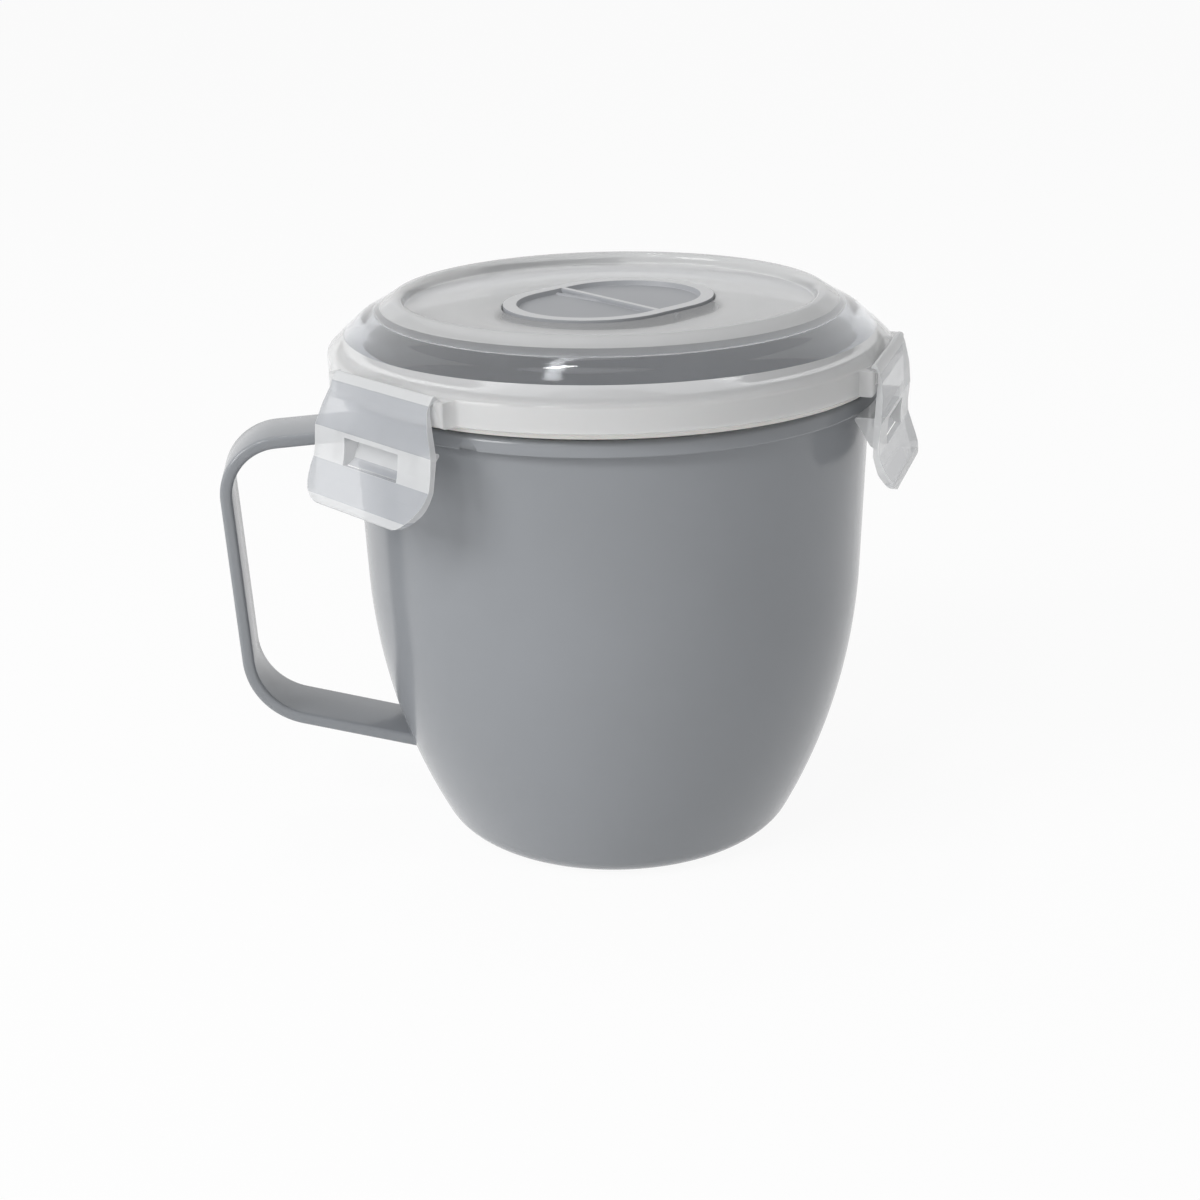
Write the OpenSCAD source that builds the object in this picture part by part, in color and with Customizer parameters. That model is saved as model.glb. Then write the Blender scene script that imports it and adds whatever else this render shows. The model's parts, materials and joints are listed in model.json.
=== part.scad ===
// Soup mug with a clip-on lid: a moulded mug with a strap handle, a domed lid on a soft
// ring, three latches that hook under the rim flange and a rocking steam vent.
// The origin is on the mug's axis at the table, with +Z up.

/* [Mug barrel] */
// Height of the rim above the table
mug_h = 110; // [95:1:130]
// Outer radius where the straight upper wall begins
belly_r = 58.5; // [52:0.5:66]
// Height where the straight upper wall begins
belly_z = 65; // [50:1:72]
// Draft of the straight upper wall, in degrees
draft_deg = 1.7; // [0.5:0.1:2.5]
// Radius of the flat base
base_r = 35; // [28:0.5:40]
// Radius of the corner between the base and the side
base_corner_r = 9.2; // [6:0.1:12]
// Thickness of the barrel's wall and floor
mug_wall = 2.2; // [1.8:0.1:2.8]

/* [Rim flange] */
// How far the flange stands out from the wall at the rim
flange_w = 2; // [1.4:0.1:2.4]
// Height of the flange's outer face
flange_h = 3.2; // [2.6:0.1:4]
// Rounding of the flange's upper edge
flange_round = 1.1; // [0.5:0.1:1.4]
// Width of the notch beside each latch, in the flange's lower edge
notch_w = 4.2; // [2:0.1:6]
// Depth of that notch
notch_depth = 0.5; // [0.2:0.1:1]

/* [Handle] */
// Width of the handle's strap
handle_w = 18; // [14:0.5:22]
// Thickness of the strap
handle_t = 2.8; // [2.2:0.1:3.6]
// Rounding of the strap's long edges
handle_edge = 0.9; // [0.4:0.1:1]
// Distance from the barrel's wall at the rim to the outside of the grip
handle_reach = 31; // [26:0.5:36]
// Distance from the flange down to the top of the upper arm
handle_drop = 6.1; // [3:0.1:9]
// Height between the centres of the upper and the lower bend
handle_span = 39.4; // [32:0.2:44]
// Outer radius of the upper bend
upper_bend_r = 14; // [11:0.5:16]
// Outer radius of the lower bend
lower_bend_r = 18; // [14:0.5:20]
// Lean of the grip towards the barrel at its lower end, in degrees
grip_lean_deg = 2.3; // [0:0.1:4]
// Rise of the upper arm towards the barrel, in degrees
upper_arm_deg = 3; // [0:0.5:6]
// Fall of the lower arm towards the barrel, in degrees
lower_arm_deg = 16.5; // [10:0.5:20]
// Direction of the handle seen from above, in degrees
handle_azimuth = 187; // [185:1:190]

/* [Lid] */
// Gap between the rim and the skirt's lower edge
skirt_gap = 2.4; // [1.8:0.1:3]
// How far the skirt stands outside the flange
skirt_over = 2.8; // [2.4:0.1:3.4]
// Height of the skirt's outer face
skirt_h = 5.6; // [5:0.1:6.4]
// Width of the sloping shoulder inside the skirt
shoulder_w = 3.9; // [3.4:0.1:4.4]
// Rise of the shoulder
shoulder_h = 3.7; // [3.2:0.1:4.2]
// Width of the clear sloping wall, up to the top ring
dome_w = 7.4; // [6:0.1:9]
// Rise of the clear sloping wall
dome_h = 4.9; // [4:0.1:6]
// Width of the top ring
ring_w = 6.4; // [5:0.1:8]
// Height of the top ring over the plate inside it
ring_h = 2.65; // [2:0.05:3.2]
// Rounding of the top ring's crest
ring_round = 1.4; // [0.8:0.1:1.6]
// Wall thickness of the lid
lid_wall = 1.8; // [1.4:0.1:2]
// Depth of the gasket channel's roof below the skirt's upper edge
roof_drop = 0.7; // [0.4:0.1:1]
// Rounding of the skirt's upper edge
skirt_round = 0.9; // [0.3:0.1:1.2]
// Running gap between the lid's plug and the mouth of the mug
plug_gap = 0.6; // [0.4:0.1:0.9]
// Thickness of the plug's wall
plug_wall = 1.4; // [1:0.1:1.8]
// Depth of the plug below the rim
plug_depth = 3; // [2:0.1:5]

/* [Rim gasket] */
// Clearance between the gasket and the channel's two walls
gasket_clear = 0.1; // [0.05:0.01:0.2]
// Thickness of the gasket's two legs
gasket_leg = 1.7; // [1.2:0.1:2]
// Thickness of the gasket's lower web
gasket_web = 2; // [1.5:0.1:2.5]
// Height of the lip that presses on the rim
lip_h = 1; // [0.6:0.1:1.4]
// Width of that lip
lip_w = 2.2; // [1.6:0.1:2.4]

/* [Latches] */
// Number of latches round the lid
latch_count = 3;
// Direction of the first latch seen from above, in degrees
latch_azimuth = 222.5; // [218:0.5:226]
// Width of a latch at its hinge
latch_w = 34; // [26:1:35]
// Width of a latch from the hook down
tab_w = 41; // [36:1:44]
// Width of the hook
hook_w = 30; // [24:1:34]
// Thickness of a latch's plate
latch_wall = 1.5; // [1.2:0.1:1.8]
// Radius of the rounded hinge edge at the top of a latch
hinge_r = 0.5; // [0.4:0.05:0.6]
// Gap between the hinge edge and its groove in the lid
hinge_gap = 0.3; // [0.2:0.05:0.4]
// Gap between a latch's plate and the lid's boss
latch_gap = 0.3; // [0.2:0.05:0.4]
// How far a hook reaches in under the flange
hook_grip = 2.1; // [1.4:0.1:2.4]
// Gap between a closed hook and the flange above it
hook_gap = 0.3; // [0.2:0.05:0.5]
// Height of a hook
hook_h = 6.2; // [5:0.1:7]
// Height of the finger tab below the hook
tab_h = 10; // [8:0.5:12]
// How far the tab flares outward
tab_flare = 3.4; // [2:0.1:5]
// Rounding of the tab's lower corners
tab_corner_r = 9; // [4:0.5:9]
// Width of the raised border round the tab
border_w = 1.6; // [1:0.1:2.5]
// Depth of the shallow dish inside that border
dish_depth = 0.4; // [0.2:0.05:0.6]
// Width of the pocket moulded into the back of a hook
pocket_w = 19; // [12:1:22]
// Height of that pocket
pocket_h = 6; // [4:0.1:6.4]
// Width of the boss that carries a latch
boss_w = 40; // [37:1:42]
// How far the left latch hangs open at rest, in degrees
ajar_deg = 10; // [0:1:20]

/* [Steam vent] */
// Radius of the rocker's round ends
rocker_r = 20.2; // [17:0.2:22]
// Distance between the centres of the round ends
rocker_span = 11.2; // [6:0.2:14]
// Thickness of the rocker
rocker_t = 2.4; // [2:0.1:3]
// Height of the rocker over the plate
rocker_proud = 0.5; // [0:0.1:1]
// Width of the rocker's raised rim
rocker_rim = 3; // [2:0.1:4]
// Depth of the two finger pockets
rocker_dish = 1.1; // [0.5:0.1:1.3]
// Width of the bar between the finger pockets
bar_w = 1.8; // [1.2:0.1:3]
// Turn of that bar from square, in degrees
bar_skew_deg = -8; // [-12:1:12]
// Gap between the rocker and its well
rocker_gap = 0.4; // [0.3:0.05:0.6]
// Depth of the well under the plate's top
well_depth = 10; // [8:0.5:11]
// Wall thickness of the well
well_wall = 1.6; // [1.2:0.1:2]
// Radius of the rocker's pivot pins
pivot_r = 0.8; // [0.6:0.05:1]
// Running clearance of the pivot pins
pivot_clear = 0.08; // [0.04:0.01:0.1]
// Radius of the steam hole
steam_r = 3; // [2:0.1:4]
// Radius of the soft seal's flange
seal_r = 5; // [4.5:0.1:6]
// Distance of the steam hole from the pivot
steam_reach = 16; // [12:0.5:17]
// Direction of the rocker's long axis seen from above, in degrees
vent_azimuth = 46; // [0:1:90]

/* [Hidden] */
$fn = 96;
// overrun of a cut past the faces it opens
over = 1;
// a straight length of the strap laps into the bends by this much, a hair thinner than they are
strap_lap = handle_edge / 4;
strap_ease = handle_edge / 60;
// number of straight facets in a large and in a small profile arc
long_steps = 16;
short_steps = 7;

// points of an arc round (cx, cy), from angle a to angle b
function arc(cx, cy, r, a, b, steps) =
    [for (i = [0:steps]) [cx + r * cos(a + (b - a) * i / steps), cy + r * sin(a + (b - a) * i / steps)]];

// barrel: the big side arc is tangent to the straight wall and to the base corner
rim_r = belly_r + (mug_h - belly_z) * tan(draft_deg);
flange_r = rim_r + flange_w;
flange_z = mug_h - flange_h;
side_dx = belly_r - base_r;
side_dz = belly_z - base_corner_r;
side_reach = side_dx * cos(draft_deg) - side_dz * sin(draft_deg);
side_r = (side_dx * side_dx + side_dz * side_dz - base_corner_r * base_corner_r)
         / (2 * (side_reach - base_corner_r));
side_cx = belly_r - side_r * cos(draft_deg);
side_cz = belly_z + side_r * sin(draft_deg);
// direction from the side arc's centre to the base corner's centre
join_deg = atan2(base_corner_r - side_cz, base_r - side_cx);
mouth_r = rim_r - mug_wall / cos(draft_deg);
mouth_round = mug_wall / 4;

// outline of the barrel, drawn inside by the given wall
function side_line(wall) = concat(
    arc(base_r, base_corner_r, base_corner_r - wall, -90, join_deg, short_steps),
    arc(side_cx, side_cz, side_r - wall, join_deg, -draft_deg, long_steps));

module barrel_solid() {
    rotate_extrude()
        polygon(concat([[0, 0]], side_line(0),
            [[rim_r - flange_h * tan(draft_deg), flange_z], [flange_r, flange_z]],
            arc(flange_r - flange_round, mug_h - flange_round, flange_round, 0, 90, short_steps),
            [[0, mug_h]]));
}

module barrel_hollow() {
    rotate_extrude()
        polygon(concat([[0, mug_wall]], side_line(mug_wall),
            arc(mouth_r + mouth_round, mug_h - mouth_round, mouth_round, 180, 90, short_steps),
            [[mouth_r + mouth_round, mug_h + over], [0, mug_h + over]]));
}

// strap section, drawn inside by the given ease: x across its thickness, y along its width
module strap_section(ease) {
    edge_r = handle_edge - ease;
    flat_t = handle_t - 2 * handle_edge;
    flat_w = handle_w - 2 * handle_edge;
    square([flat_t + 2 * edge_r, flat_w], center = true);
    square([flat_t, flat_w + 2 * edge_r], center = true);
    for (x = [-1, 1], y = [-1, 1])
        translate([x * flat_t / 2, y * flat_w / 2]) circle(r = edge_r, $fn = 32);
}

// handle: two arms, two bends and a leaning grip, one section all along
upper_mid_r = upper_bend_r - handle_t / 2;
lower_mid_r = lower_bend_r - handle_t / 2;
upper_cx = rim_r + handle_reach - upper_bend_r;
upper_cz = flange_z - handle_drop - upper_bend_r;
lower_cx = upper_cx - (lower_bend_r - upper_bend_r + handle_span * sin(grip_lean_deg))
           / cos(grip_lean_deg);
lower_cz = upper_cz - handle_span;
grip_l = norm([upper_cx - lower_cx, handle_span]) * cos(
    asin((lower_bend_r - upper_bend_r) / norm([upper_cx - lower_cx, handle_span])));

module strap_run(x, z, turn, length) {
    translate([x, 0, z]) rotate([0, turn, 0]) translate([0, 0, -strap_lap])
        linear_extrude(length + 2 * strap_lap) strap_section(strap_ease);
}

module strap_bend(x, z, r, from, sweep) {
    translate([x, 0, z]) rotate([90, 0, 0]) rotate([0, 0, from])
        rotate_extrude(angle = sweep) translate([r, 0]) strap_section(0);
}

module handle() {
    upper_x = upper_cx + upper_mid_r * sin(upper_arm_deg);
    upper_z = upper_cz + upper_mid_r * cos(upper_arm_deg);
    lower_x = lower_cx + lower_mid_r * sin(lower_arm_deg);
    lower_z = lower_cz - lower_mid_r * cos(lower_arm_deg);
    rotate([0, 0, handle_azimuth]) {
        strap_run(upper_x, upper_z, -(90 - upper_arm_deg), (upper_x - mouth_r + mug_wall)
                  / cos(upper_arm_deg));
        strap_bend(upper_cx, upper_cz, upper_mid_r, -grip_lean_deg,
                   90 - upper_arm_deg + grip_lean_deg);
        strap_run(lower_cx + lower_mid_r * cos(grip_lean_deg),
                  lower_cz - lower_mid_r * sin(grip_lean_deg), grip_lean_deg, grip_l);
        strap_bend(lower_cx, lower_cz, lower_mid_r, lower_arm_deg - 90,
                   90 - lower_arm_deg - grip_lean_deg);
        // ends inside the barrel, where the hollow cuts it off
        strap_run(lower_x, lower_z, -(90 + lower_arm_deg), (lower_x - base_r)
                  / cos(lower_arm_deg));
    }
}

module mug() {
    color("#9a9da1") difference() {
        union() {
            barrel_solid();
            handle();
        }
        barrel_hollow();
        for (i = [0:latch_count - 1])
            rotate([0, 0, notch_azimuth + 360 / latch_count * i])
                translate([flange_r, 0, flange_z])
                    cube([flange_w, notch_w, 2 * notch_depth], center = true);
    }
}

// lid: heights and radii from the skirt in to the plate
skirt_r = flange_r + skirt_over;
skirt_z = mug_h + skirt_gap;
skirt_top = skirt_z + skirt_h;
foot_r = skirt_r - shoulder_w;
foot_z = skirt_top + shoulder_h;
ring_r = foot_r - dome_w;
plate_z = foot_z + dome_h;
dome_deg = atan(dome_h / dome_w);
crest_z = plate_z + ring_h;
crest_r = ring_r - ring_h / tan(dome_deg);
ring_in_r = ring_r - ring_w;
roof_z = skirt_top - roof_drop;
ledge_z = roof_z + lid_wall;
plug_r = mouth_r - plug_gap;
plug_z = mug_h - plug_depth;
dome_drop = lid_wall / cos(dome_deg);
under_z = plate_z - lid_wall;

module lid_shell() {
    crest_cx = crest_r - ring_round * tan(dome_deg / 2);
    rotate_extrude() polygon(concat(
        [[0, under_z], [0, plate_z], [ring_in_r, plate_z]],
        arc(ring_in_r + ring_round, crest_z - ring_round, ring_round, 180, 90, short_steps),
        arc(crest_cx, crest_z - ring_round, ring_round, 90, 90 - dome_deg, short_steps),
        [[ring_r, plate_z], [foot_r, foot_z]],
        arc(skirt_r - skirt_round, skirt_top - skirt_round, skirt_round, 45, 0, short_steps),
        [[skirt_r, skirt_z], [skirt_r - lid_wall, skirt_z], [skirt_r - lid_wall, roof_z],
         [plug_r, roof_z], [plug_r, plug_z], [plug_r - plug_wall, plug_z],
         [plug_r - plug_wall, ledge_z],
         [foot_r - (ledge_z - foot_z + dome_drop) / tan(dome_deg), ledge_z],
         [foot_r - (under_z - foot_z + dome_drop) / tan(dome_deg), under_z]]));
}

// flat-faced boss that fills in from the round skirt to the latch's straight hinge
module latch_boss() {
    translate([boss_x, 0, 0]) rotate([90, 0, 0])
        linear_extrude(boss_w, center = true)
            polygon([[0, skirt_z], [0, skirt_top - skirt_round], [-skirt_round, skirt_top],
                     [-shoulder_w, skirt_top], [-shoulder_w, roof_z], [-lid_wall, roof_z],
                     [-lid_wall, skirt_z]]);
}

// room for a latch's hinge edge and for the thin top of its plate
module latch_groove() {
    groove_r = hinge_r + hinge_gap;
    rotate([90, 0, 0]) linear_extrude(latch_w + 2 * latch_gap, center = true) {
        translate([hinge_x, hinge_z]) circle(r = groove_r, $fn = 32);
        polygon([[hinge_x, hinge_z + groove_r], [boss_x + over, hinge_z + groove_r],
                 [boss_x + over, hinge_z - latch_wall], [boss_x, hinge_z - latch_wall],
                 [hinge_x, hinge_z - groove_r]]);
    }
}

// stadium outline, grown outward by the given distance
module stadium(grow) {
    square([rocker_span, 2 * (rocker_r + grow)], center = true);
    for (side = [-1, 1])
        translate([side * rocker_span / 2, 0]) circle(r = rocker_r + grow);
}

module lid() {
    color("#dfe3e6", 0.6) difference() {
        union() {
            lid_shell();
            for (i = [0:latch_count - 1])
                rotate([0, 0, latch_azimuth + 360 / latch_count * i])
                    difference() {
                        latch_boss();
                        translate([0, 0, skirt_z - over])
                            cylinder(r = skirt_r - lid_wall / 2, h = skirt_h + shoulder_h + over);
                    }
            rotate([0, 0, vent_azimuth]) translate([0, 0, plate_z - well_depth])
                linear_extrude(well_depth - lid_wall / 2) stadium(rocker_gap + well_wall);
        }
        for (i = [0:latch_count - 1])
            rotate([0, 0, latch_azimuth + 360 / latch_count * i]) latch_groove();
        rotate([0, 0, vent_azimuth]) {
            translate([0, 0, floor_z]) linear_extrude(well_depth) stadium(rocker_gap);
            translate([steam_reach, 0, floor_z - well_wall - over])
                cylinder(r = steam_r, h = well_wall + 2 * over);
            translate([0, 0, pivot_z]) rotate([90, 0, 0])
                cylinder(r = pivot_r + pivot_clear, h = 2 * (rocker_r + rocker_gap + pivot_reach)
                         + over, center = true, $fn = 32);
        }
    }
}

// gasket: an upward U in the lid's channel with a lip that meets the rim
gasket_in_r = plug_r + gasket_clear;
gasket_out_r = skirt_r - lid_wall - gasket_clear;
gasket_low_z = mug_h + lip_h;
lip_mid_r = (mouth_r + mouth_round + flange_r - flange_round) / 2;

module rim_gasket() {
    color("#dcdad4") rotate_extrude() polygon([
        [lip_mid_r - lip_w / 2, mug_h], [lip_mid_r + lip_w / 2, mug_h],
        [lip_mid_r + lip_w / 2, gasket_low_z], [gasket_out_r, gasket_low_z],
        [gasket_out_r, roof_z], [gasket_out_r - gasket_leg, roof_z],
        [gasket_out_r - gasket_leg, gasket_low_z + gasket_web],
        [gasket_in_r + gasket_leg, gasket_low_z + gasket_web],
        [gasket_in_r + gasket_leg, roof_z], [gasket_in_r, roof_z],
        [gasket_in_r, gasket_low_z], [lip_mid_r - lip_w / 2, gasket_low_z]]);
}

// latch: x is the distance from the mug's axis, z the height; hinge along the tangent
boss_x = skirt_r;
plate_x = boss_x + latch_gap;
hinge_x = boss_x - latch_wall / 2;
hinge_z = skirt_top + latch_gap;
hook_top_z = flange_z - hook_gap;
hook_low_z = hook_top_z - hook_h;
hook_x = flange_r - hook_grip;
hook_round = latch_wall / 3;
pocket_x = hook_x + 1.6 * latch_wall;
pocket_z = hook_top_z - 0.7 * latch_wall;
tab_z = hook_low_z - tab_h;
tab_round = latch_wall / 2;
face_x = plate_x + latch_wall;
// middle of the notch, just past the end of the boss
notch_azimuth = latch_azimuth + atan((boss_w + notch_w) / 2 / skirt_r);
// upper plate: drop as a share of the way from hinge to hook, and share of the full wall
plate_shares = [[0.14, 0.3], [0.33, 0.62], [0.58, 0.92], [0.7, 1], [1, 1]];
// waist beside the hook: drop as a share of the hook's height, and share of the full wall
waist_shares = [[0.7, 0.76], [1.1, 0.8]];
// tab: share of the flare, and height as a share of the tab's height
tab_shares = [[0.3, 0.6], [0.8, 0.25]];
tab_in_shares = [0.3, 0.5];

// outer face of the tab, moved inward by the given depth
function tab_face(depth) = concat(
    [for (share = waist_shares)
        [plate_x + latch_wall * share[1] - depth, hook_top_z - hook_h * share[0]]],
    [for (share = tab_shares)
        [face_x + tab_flare * share[0] - depth, tab_z + tab_h * share[1]]]);

module plate_section() {
    polygon(concat(
        arc(hinge_x, hinge_z, hinge_r, 200, 50, short_steps),
        [for (share = plate_shares)
            [plate_x + latch_wall * share[1], hinge_z - (hinge_z - hook_top_z) * share[0]]],
        tab_face(0),
        arc(face_x + tab_flare - tab_round, tab_z + tab_round, tab_round, 20, -160, short_steps),
        [[face_x + tab_flare * tab_in_shares[0] - latch_wall, tab_z + tab_h * tab_in_shares[1]],
         [plate_x, hook_low_z - tab_round], [plate_x, hinge_z - latch_wall]]));
}

module hook_section() {
    root_x = plate_x + latch_wall / 2;
    polygon(concat(
        [[root_x, hook_top_z], [root_x, hook_low_z - tab_round],
         [plate_x - hook_round, hook_low_z - tab_round], [plate_x - latch_wall, hook_low_z]],
        arc(hook_x + hook_round, hook_top_z - hook_round, hook_round, 200, 90, short_steps)));
}

// face of a latch seen from outside, drawn inside by the given border
module latch_outline(border) {
    half_top = latch_w / 2 - border;
    half_w = tab_w / 2 - border;
    corner_r = tab_corner_r - border;
    polygon([[-half_w, tab_z + tab_corner_r], [-half_w, hook_top_z],
             [-half_top, hinge_z - 2 * latch_wall], [-half_top, hinge_z + latch_wall],
             [half_top, hinge_z + latch_wall], [half_top, hinge_z - 2 * latch_wall],
             [half_w, hook_top_z], [half_w, tab_z + tab_corner_r]]);
    translate([corner_r - half_w, tab_z + border])
        square([2 * (half_w - corner_r), tab_corner_r]);
    for (side = [-1, 1])
        translate([side * (half_w - corner_r), tab_z + tab_corner_r]) circle(r = corner_r);
}

module latch_solid() {
    difference() {
        union() {
            intersection() {
                rotate([90, 0, 0]) linear_extrude(tab_w, center = true) plate_section();
                rotate([90, 0, 90]) linear_extrude(2 * skirt_r) latch_outline(0);
            }
            rotate([90, 0, 0]) linear_extrude(hook_w, center = true) hook_section();
        }
        rotate([90, 0, 0]) linear_extrude(pocket_w, center = true)
            polygon([[face_x + over, pocket_z], [pocket_x, pocket_z],
                     [plate_x - latch_wall, pocket_z - pocket_h + latch_wall],
                     [plate_x, pocket_z - pocket_h], [face_x + over, pocket_z - pocket_h]]);
        tab_dish();
    }
}

// shallow dish for the fingertip, inside the tab's raised border
module tab_dish() {
    intersection() {
        rotate([90, 0, 0]) linear_extrude(tab_w, center = true)
            polygon(concat(tab_face(dish_depth),
                [[face_x + tab_flare - dish_depth, tab_z + border_w],
                 [face_x + tab_flare + over, tab_z + border_w],
                 [face_x + tab_flare + over, hook_top_z - hook_h * waist_shares[0][0]]]));
        rotate([90, 0, 90]) linear_extrude(2 * skirt_r) latch_outline(border_w);
    }
}

module latch(index, open_deg) {
    color("#dfe3e6", 0.7) rotate([0, 0, latch_azimuth + 360 / latch_count * index])
        translate([hinge_x, 0, hinge_z]) rotate([0, -open_deg, 0])
            translate([-hinge_x, 0, -hinge_z]) latch_solid();
}

module latch_left() {
    latch(0, ajar_deg);
}

module latch_right() {
    latch(1, 0);
}

module latch_back() {
    latch(2, 0);
}

// vent: a rocker on two pins over a deep well, with a post that carries the seal
rocker_top_z = plate_z + rocker_proud;
rocker_low_z = rocker_top_z - rocker_t;
floor_z = plate_z - well_depth + well_wall;
pivot_z = rocker_low_z + pivot_r + pivot_clear;
pivot_reach = well_wall / 2;
seal_h = 2 * well_wall;
post_r = seal_r / 2;
socket_h = seal_h / 2;
// tip and root of the seal's plug as shares of the steam hole's radius
plug_shares = [0.5, 0.75];

module vent_flap() {
    color("#a6a8ab") rotate([0, 0, vent_azimuth]) {
        difference() {
            translate([0, 0, rocker_low_z]) linear_extrude(rocker_t) stadium(0);
            translate([0, 0, rocker_top_z - rocker_dish]) difference() {
                linear_extrude(rocker_dish + over) stadium(-rocker_rim);
                rotate([0, 0, bar_skew_deg])
                    cube([bar_w, 2 * rocker_r + rocker_span, 4 * rocker_dish], center = true);
            }
        }
        translate([0, 0, pivot_z]) rotate([90, 0, 0])
            cylinder(r = pivot_r, h = 2 * (rocker_r + rocker_gap + pivot_reach), center = true, $fn = 32);
        translate([steam_reach, 0, floor_z + seal_h - socket_h])
            cylinder(r = post_r, h = rocker_low_z + rocker_t / 4 - floor_z - seal_h + socket_h);
    }
}

module vent_seal() {
    color("#dcdad4") rotate([0, 0, vent_azimuth]) translate([steam_reach, 0, floor_z]) difference() {
        union() {
            cylinder(r = seal_r, h = seal_h);
            translate([0, 0, -well_wall])
                cylinder(r1 = steam_r * plug_shares[0], r2 = steam_r * plug_shares[1],
                         h = well_wall + seal_h / 4);
        }
        translate([0, 0, seal_h - socket_h]) cylinder(r = post_r, h = socket_h + over);
    }
}

mug();
lid();
rim_gasket();
latch_left();
latch_right();
latch_back();
vent_flap();
vent_seal();
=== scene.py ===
import bpy
import bmesh
import json
import math
from mathutils import Matrix, Vector

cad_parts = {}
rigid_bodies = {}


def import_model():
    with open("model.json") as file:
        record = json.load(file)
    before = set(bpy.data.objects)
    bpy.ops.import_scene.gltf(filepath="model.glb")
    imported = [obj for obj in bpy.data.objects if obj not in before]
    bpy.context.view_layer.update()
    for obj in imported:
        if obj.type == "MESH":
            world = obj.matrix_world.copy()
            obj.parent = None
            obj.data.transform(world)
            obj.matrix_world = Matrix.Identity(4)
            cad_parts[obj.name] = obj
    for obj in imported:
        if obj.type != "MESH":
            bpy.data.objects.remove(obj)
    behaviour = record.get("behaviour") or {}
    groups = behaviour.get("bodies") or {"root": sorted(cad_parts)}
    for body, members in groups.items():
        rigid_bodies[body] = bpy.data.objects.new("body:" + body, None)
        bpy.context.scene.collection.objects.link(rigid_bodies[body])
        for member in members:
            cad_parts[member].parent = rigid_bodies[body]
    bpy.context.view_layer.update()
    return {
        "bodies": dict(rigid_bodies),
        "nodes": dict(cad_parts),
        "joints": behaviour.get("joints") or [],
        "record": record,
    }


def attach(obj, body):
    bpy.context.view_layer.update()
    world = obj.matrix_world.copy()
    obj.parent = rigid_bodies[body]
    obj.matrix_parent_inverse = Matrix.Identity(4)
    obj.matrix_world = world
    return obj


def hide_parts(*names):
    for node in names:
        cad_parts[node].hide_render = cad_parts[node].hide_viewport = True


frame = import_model()

# sizes are in millimetres and become metres where a vertex is made
mm = 0.001
spinSteps = 192
weldGap = 0.001       # vertices closer than this are one
overrun = 1           # how far a cut runs past the face that it cuts
latchCount = 3


def tanDeg(angle):
    return math.tan(math.radians(angle))


def sinDeg(angle):
    return math.sin(math.radians(angle))


def cosDeg(angle):
    return math.cos(math.radians(angle))


def arcPoints(centre, radius, start, end, steps):
    angles = [start + (end - start) * i / steps for i in range(steps + 1)]
    return [(centre[0] + radius * cosDeg(a), centre[1] + radius * sinDeg(a)) for a in angles]


# corners are (x, z, radius); each one with a radius becomes a short arc
def roundedLine(corners, closed=True, steps=4):
    line = []
    count = len(corners)
    for i, (x, z, radius) in enumerate(corners):
        here = Vector((x, z))
        if radius == 0 or (not closed and i in (0, count - 1)):
            line.append((x, z))
            continue
        before = (Vector(corners[i - 1][:2]) - here).normalized()
        after = (Vector(corners[(i + 1) % count][:2]) - here).normalized()
        half = before.angle(after) / 2
        centre = here + (before + after).normalized() * (radius / math.sin(half))
        first = here + before * (radius / math.tan(half)) - centre
        last = here + after * (radius / math.tan(half)) - centre
        sweep = math.atan2(first.x * last.y - first.y * last.x, first.dot(last))
        angle = math.atan2(first.y, first.x)
        for k in range(steps + 1):
            a = angle + sweep * k / steps
            line.append((centre.x + radius * math.cos(a), centre.y + radius * math.sin(a)))
    return line


def drawLine(bm, points, closed=False):
    verts = [bm.verts.new((x * mm, 0, z * mm)) for x, z in points]
    edges = [bm.edges.new(pair) for pair in zip(verts, verts[1:])]
    if closed:
        edges.append(bm.edges.new((verts[-1], verts[0])))
    return verts, edges


def spinLine(points, closed=False):
    bm = bmesh.new()
    verts, edges = drawLine(bm, points, closed)
    bmesh.ops.spin(bm, geom=verts + edges, cent=(0, 0, 0), axis=(0, 0, 1),
                   angle=2 * math.pi, steps=spinSteps, use_merge=True)
    bmesh.ops.remove_doubles(bm, verts=bm.verts, dist=weldGap * mm)
    bmesh.ops.recalc_face_normals(bm, faces=bm.faces)
    return bm


# a flat outline in X and Z, drawn out to both sides along Y
def drawOut(points, width):
    bm = bmesh.new()
    verts, edges = drawLine(bm, points, closed=True)
    face = bm.faces.new(verts)
    bmesh.ops.translate(bm, verts=verts, vec=(0, -width / 2 * mm, 0))
    out = bmesh.ops.extrude_face_region(bm, geom=[face])
    moved = [v for v in out["geom"] if isinstance(v, bmesh.types.BMVert)]
    bmesh.ops.translate(bm, verts=moved, vec=(0, width * mm, 0))
    bmesh.ops.recalc_face_normals(bm, faces=bm.faces)
    return bm


def newPiece(name, bm, material=None, sharpAngle=32):
    mesh = bpy.data.meshes.new(name)
    bm.to_mesh(mesh)
    bm.free()
    piece = bpy.data.objects.new(name, mesh)
    bpy.context.scene.collection.objects.link(piece)
    mesh.shade_smooth()
    mesh.set_sharp_from_angle(angle=math.radians(sharpAngle))
    if material:
        mesh.materials.append(material)
    return piece


# the modifiers so far are applied, so that the next step works on the finished shape
def applyModifiers(piece):
    graph = bpy.context.evaluated_depsgraph_get()
    shape = bpy.data.meshes.new_from_object(piece.evaluated_get(graph))
    piece.modifiers.clear()
    piece.data = shape


def combine(piece, other, operation):
    step = piece.modifiers.new(operation.lower(), 'BOOLEAN')
    step.operation = operation
    step.solver = 'EXACT'
    step.object = other
    applyModifiers(piece)
    bpy.data.objects.remove(other, do_unlink=True)


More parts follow.
